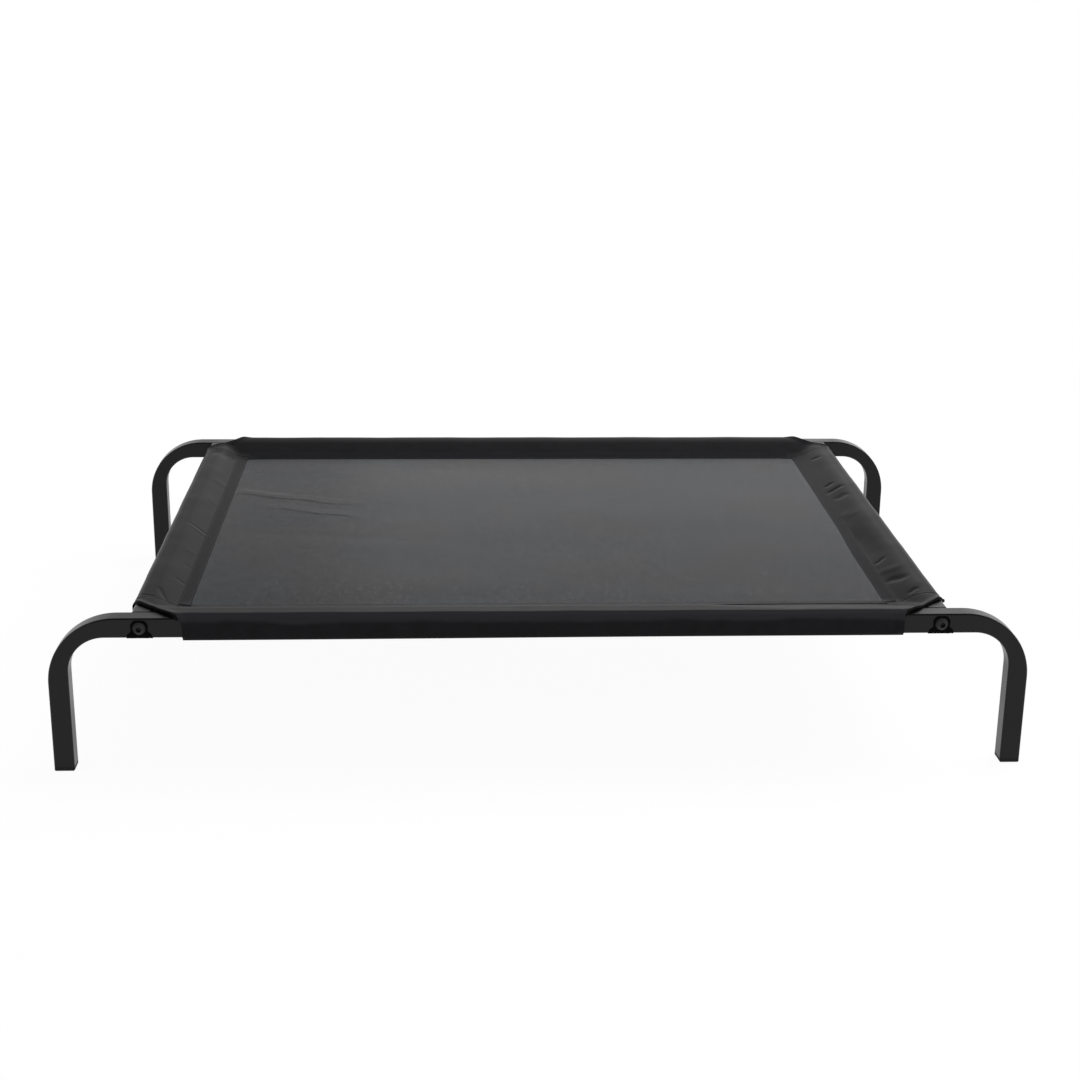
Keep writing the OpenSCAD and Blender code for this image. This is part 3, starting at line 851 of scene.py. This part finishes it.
def closed_piece(name, shape):
    """An object from a closed shape, with its faces turned outwards."""
    bmesh.ops.recalc_face_normals(shape, faces=shape.faces)
    mesh = bpy.data.meshes.new(name)
    shape.to_mesh(mesh)
    shape.free()
    mesh.shade_smooth()
    return new_object(name, mesh)


def make_hems(side, binding):
    """The rolled hems along the 45 degree cuts of one side pocket's two flaps."""
    shape = bmesh.new()
    for end in END_NAMES:
        rings = [[shape.verts.new(point) for point in ring] for ring in hem_tube(side, end)]
        skin(shape, rings)
        shape.faces.new(rings[0])
        shape.faces.new(rings[-1])
    return dress(closed_piece(SIDE_NAMES[side] + "_flap_hems", shape), binding, "pocket_cloth")


def make_side_pocket(side, cloth, binding):
    """One side pocket with its two corner flaps: cloth sewn to the mesh, up over the rail and round it."""
    fine_width, fine_step, top_step, along_step = 4 * MM, 0.8 * MM, 1.4 * MM, 3 * MM
    flap_rows = 36
    beside_width, dip_width, face_from = 8 * MM, 3 * MM, 0.8
    out = RAIL_OUT + SIDE_PAST
    wrap = wrap_line(out, SIDE_SHOULDER, SIDE_TOP, RAIL_CREST, SIDE_SEAM_OUT, SIDE_CLOTH_IN)
    fine_across = even_steps(SIDE_CLOTH_IN, SIDE_CLOTH_IN + fine_width, fine_step)
    top_across = np.concatenate([fine_across, even_steps(fine_across[-1], wrap[0, 0], top_step)[1:]])
    across, up, on_top, outwards, upwards, lengths = section(
        top_across, cover_top(0, side * top_across), wrap, out, SIDE_SHOULDER)
    flap = np.linspace(0, 1, flap_rows)[1:]
    middle = even_steps(-FLAP_START_X, FLAP_START_X, along_step)
    reach = {end: STRIP_END[end] + (flap_reach(across, end) - STRIP_END[end]) * smooth(upwards, 0, 1)
             for end in END_NAMES}
    ends = {end: FLAP_START_X + flap[:, None] * (reach[end] - FLAP_START_X) for end in END_NAMES}
    middle_rows = np.broadcast_to(middle[:, None], (len(middle), len(across)))
    x = np.concatenate([-ends[LEFT][::-1], middle_rows, ends[RIGHT]])
    y = side * np.broadcast_to(across, x.shape)
    beside_end = smooth(np.abs(x), END_TAPE_OUT - beside_width, END_TAPE_OUT)
    dip = SEAM_DIP * beside_end * (1 - smooth(np.abs(y), SIDE_CLOTH_IN, SIDE_CLOTH_IN + dip_width)) * upwards
    at_edge = smooth(np.abs(x), SIDE_HALF - EDGE_WIDTH, SIDE_HALF - EDGE_WIDTH + EDGE_STEP)
    edge = EDGE_RISE * smooth(outwards, face_from, 1) * at_edge
    off = slack(x, y) + edge - dip
    low = np.clip((AXIS_Z - up) / (AXIS_Z - UNDER_Z), 0, 1)
    base = np.where(on_top, cover_top(x, y), up) - SIDE_SAG * low * smooth(-x, -SAG_FROM, -SAG_TO)
    points = np.stack([x, y + side * off * outwards, base + off * upwards], axis=-1)
    uv = np.stack([x, np.broadcast_to(lengths, x.shape)], axis=-1)
    name = SIDE_NAMES[side] + "_side_pocket"
    piece = sheet_piece(name + "_cloth", points, uv, CLOTH, cloth, "pocket_cloth", name)
    make_hems(side, binding)


def make_mesh_bed(net):
    """The mesh bed: one stretched sheet whose edges lie between the two layers of every seam."""
    step, fine_step = 4 * MM, 1.8 * MM
    wrinkled_from, wrinkled_to = 10 * MM, 175 * MM
    taut_width, held_width = 60 * MM, 8 * MM
    waves_along, waves_across = 0.35, 0.2
    x = even_steps(mesh_low.x, mesh_high.x, step)
    y = np.concatenate([even_steps(mesh_low.y, wrinkled_from, step),
                        even_steps(wrinkled_from, wrinkled_to, fine_step)[1:],
                        even_steps(wrinkled_to, mesh_high.y, step)[1:]])
    gx, gy = np.meshgrid(x, y, indexing="ij")
    from_ends = smooth(END_SEAM_IN - np.abs(gx), 0, taut_width)
    from_sides = smooth(SIDE_SEAM_IN - np.abs(gy), 0, taut_width)
    free = smooth(END_TAPE_IN - np.abs(gx), 0, held_width)
    waves = from_ends * from_sides * pull(gy * waves_along, gx * waves_across)
    z = AXIS_Z + waves + free * creases(gx, gy, WRINKLES, WRINKLE_WANDER)
    points = np.stack([gx, gy, z], axis=-1)
    uv = np.stack([gx, gy], axis=-1)
    piece = sheet_piece("mesh_bed", points, uv, NET, net, "mesh", "mesh_panel")


# Stitches

STITCH = {"Stitch pitch": 4 * MM, "Stitch length": 3 * MM, "Thread width": 0.4 * MM}
STITCH_INSET = 2 * MM


def stitch_nodes(thread):
    """Geometry Nodes that lay one stitch after another along the lines they are given."""
    tree = bpy.data.node_groups.new("sewn_row", "GeometryNodeTree")
    tree.interface.new_socket("Row", in_out="INPUT", socket_type="NodeSocketGeometry")
    for name in STITCH:
        tree.interface.new_socket(name, in_out="INPUT", socket_type="NodeSocketFloat")
    tree.interface.new_socket("Stitches", in_out="OUTPUT", socket_type="NodeSocketGeometry")
    given = add(tree, "NodeGroupInput").outputs
    line = add(tree, "GeometryNodeMeshToCurve", {"Mesh": given["Row"]})
    places = add(tree, "GeometryNodeCurveToPoints",
                 {"Curve": line.outputs[0], "Length": given["Stitch pitch"]}, mode="LENGTH")
    bead = add(tree, "GeometryNodeMeshUVSphere", {"Segments": 6, "Rings": 4, "Radius": 0.5})
    size = add(tree, "ShaderNodeCombineXYZ",
               {"X": given["Thread width"], "Y": given["Thread width"], "Z": given["Stitch length"]})
    laid = add(tree, "GeometryNodeInstanceOnPoints",
               {"Points": places.outputs["Points"], "Instance": bead.outputs["Mesh"],
                "Rotation": places.outputs["Rotation"], "Scale": size.outputs[0]})
    real = add(tree, "GeometryNodeRealizeInstances", {"Geometry": laid.outputs[0]})
    done = add(tree, "GeometryNodeSetMaterial", {"Geometry": real.outputs[0], "Material": thread})
    add(tree, "NodeGroupOutput", {"Stitches": done.outputs[0]})
    return tree


def sew(name, rows, sewing):
    """Stitches along rows of points, turned into one plain mesh."""
    lines = bpy.data.meshes.new(name + "_lines")
    points = []
    edges = []
    for row in rows:
        edges += [(len(points) + step, len(points) + step + 1) for step in range(len(row) - 1)]
        points += [tuple(point) for point in row]
    lines.from_pydata(points, edges, [])
    piece = new_object(name, lines)
    nodes = piece.modifiers.new("stitches", "NODES")
    nodes.node_group = sewing
    for item in sewing.interface.items_tree:
        if item.name in STITCH:
            nodes[item.identifier] = STITCH[item.name]
    make_plain(piece)
    piece.data.shade_smooth()
    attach(piece, "root")
    return piece


def make_tape(name, across, along, turn, slope, loose, tape_material, sewing):
    """A flat tape sewn over a seam, from the mesh up to the cloth. Turn takes (along, across) to (x, y)."""
    loose_width, tuck_length, blend, unsewn_rows = 6 * MM, 5 * MM, 0.3 * MM, 2
    ga, gc = np.meshgrid(along, across, indexing="ij")
    past_edge = np.abs(gc - across[0])
    x, y = turn(ga, gc)
    on_cloth = cover_top(x, y) + slack(x, y) + TAPE_OVER_CLOTH
    stands_off = loose * smooth(ga, LOOSE_FROM, LOOSE_TO) * (1 - smooth(past_edge, 0, loose_width))
    even_rise = TAPE_FOOT_Z + slope(x, y) * past_edge + stands_off
    ends = TAPE_TUCK * smooth(np.abs(ga), along[-1] - tuck_length, along[-1])
    points = np.stack([x, y, soft_max(even_rise, on_cloth, blend) - ends], axis=-1)
    uv = np.stack([ga, gc], axis=-1)
    piece = sheet_piece(name + "_strip", points, uv, TAPE, tape_material, "seam_tape", name)
    step = abs(across[1] - across[0])
    inset = round(STITCH_INSET / step)
    sewn = points[unsewn_rows:-unsewn_rows] + (0, 0, TAPE / 2)
    rows = [sewn[:, column] for column in (inset, len(across) - 1 - inset)]
    stitches = sew(name + "_stitches", rows, sewing)


def make_tapes(tape_material, sewing):
    """The tapes over the four seams. Those at the ends waver a little."""
    across_step, along_step, waver = 0.9 * MM, 2.5 * MM, 0.4
    for side, name in END_NAMES.items():
        across = side * even_steps(END_TAPE_IN, END_TAPE_OUT, across_step)
        along = even_steps(-SIDE_CLOTH_IN, SIDE_CLOTH_IN, along_step)

        def over_end(a, c):
            inwards = TAPE_BOW[side] * smooth(-a, BOW_FROM, BOW_TO) + waver * pull(2 * a, c)
            return c - side * inwards, a

        make_tape(name + "_seam_tape", across, along, over_end, lambda x, y: END_TAPE_SLOPE, 0,
                  tape_material, sewing)
    for side, name in SIDE_NAMES.items():
        across = side * even_steps(SIDE_TAPE_IN, SIDE_TAPE_OUT, across_step)
        along = even_steps(-SIDE_HALF, SIDE_HALF, along_step)
        make_tape(name + "_seam_tape", across, along, lambda a, c: (a, c), side_tape_slope,
                  TAPE_LOOSE[side], tape_material, sewing)


# Dark pads round the bolts: painted shade, a thin black sheet where the shade round each bolt head falls

# Radius of the tube's corners, and the pad's thickness, hole and steps from its hole to its rim
TUBE_ROUND = 2.4 * MM
PAD_THICK = 0.8 * MM
PAD_HOLE = 7.2 * MM
PAD_STEPS = 8
# Half of the pad's outline laid flat, in mm from the bolt, from the top down: across, up and corner radius
PAD_RIM = [
    (0, 9, 0),
    (5.6, 9, 4),
    (9.4, 4, 5),
    (8.8, -3.5, 3),
    (13, -7, 2.4),
    (14, -12, 2),
    (12, -16, 2),
    (0, -16, 0),
]
PAD_POINT_STEP = 2 * MM


def round_the_tube(down, off):
    """Where a point this far down the tube's outer face and off it lies, from the bolt: outwards and up."""
    face_end = TUBE_ROUND - (TUBE_TOP - TUBE_LOW) / 2
    past = np.maximum(face_end - down, 0)
    angle = np.minimum(past / TUBE_ROUND, math.pi / 2)
    under = past - angle * TUBE_ROUND
    outwards = (TUBE_ROUND + off) * np.cos(angle) - TUBE_ROUND - under
    up = np.maximum(down, face_end) - (TUBE_ROUND + off) * np.sin(angle)
    return outwards, up


def make_bolt_shade_pads(shade_sheet_material):
    """The dark pads behind the bolt heads, painted shade as a thin black sheet: a ring, and a wider foot that
    is folded under the tube.
    """
    rim = rounded_line([tuple(value * MM for value in corner) for corner in PAD_RIM], PAD_POINT_STEP)
    outline = np.concatenate([rim, rim[-2:0:-1] * (-1, 1)])
    hole = outline / np.linalg.norm(outline, axis=1, keepdims=True) * PAD_HOLE
    lines = [hole + (outline - hole) * share for share in np.linspace(0, 1, PAD_STEPS)]
    layers = [(line, PAD_THICK) for line in lines] + [(line, 0) for line in reversed(lines)]
    shape = bmesh.new()
    for bar in END_NAMES:
        for side in SIDE_NAMES:
            loops = []
            for line, off in layers:
                outwards, up = round_the_tube(line[:, 1], off)
                x = bar * (BAR_IN + BAR_OUT) / 2 + line[:, 0]
                points = np.stack([x, side * (RAIL_OUT + outwards), AXIS_Z + up], axis=-1)
                loops.append([shape.verts.new(point) for point in points])
            skin(shape, loops + loops[:1])
    pads = closed_piece("bolt_shade_pads", shape)
    pads.data.set_sharp_from_angle(angle=CUT_EDGE_ANGLE)
    dress(pads, shade_sheet_material, "foot_plastic")


# Frame materials

def finish_frame():
    """Gives the frame's own nodes the material of their slot."""
    finishes = {
        "frame_tube": powder_coated_steel(),
        "plain_steel": zinc_plated_steel(),
        "bolt_steel": black_oxide_steel(),
        "foot_plastic": moulded_plastic(),
    }
    for part in frame["record"]["subparts"]:
        if part["material_slot"] in finishes:
            node = frame["nodes"][part["node"]]
            node.data.materials.clear()
            node.data.materials.append(finishes[part["material_slot"]])


bpy.context.scene.view_settings.view_transform = "Standard"
make_camera()
make_world()
make_lights()
make_floor()
finish_frame()
# The pocket cloth carries painted sheen along the outer shoulders of the long rails.
pocket_cloth = woven_cloth("woven_polyester", "#111112", "#1c1c1e",
                           thread_mm=1.6, shine=0.025, painted_sheen=True)
tape_cloth = woven_cloth("woven_tape", "#0f0e11", "#171619", thread_mm=1.3, shine=0.017)
binding = woven_cloth("woven_binding", "#0a0a0b", "#111112", thread_mm=1.1, shine=0.02)
sewing = stitch_nodes(sewing_thread())
make_mesh_bed(coated_open_mesh())
for end in END_NAMES:
    make_end_pocket(end, pocket_cloth)
for side in SIDE_NAMES:
    make_side_pocket(side, pocket_cloth, binding)
make_tapes(tape_cloth, sewing)
# Painted shade round the bolt heads, as thin black pads.
make_bolt_shade_pads(bolt_shade_sheet())
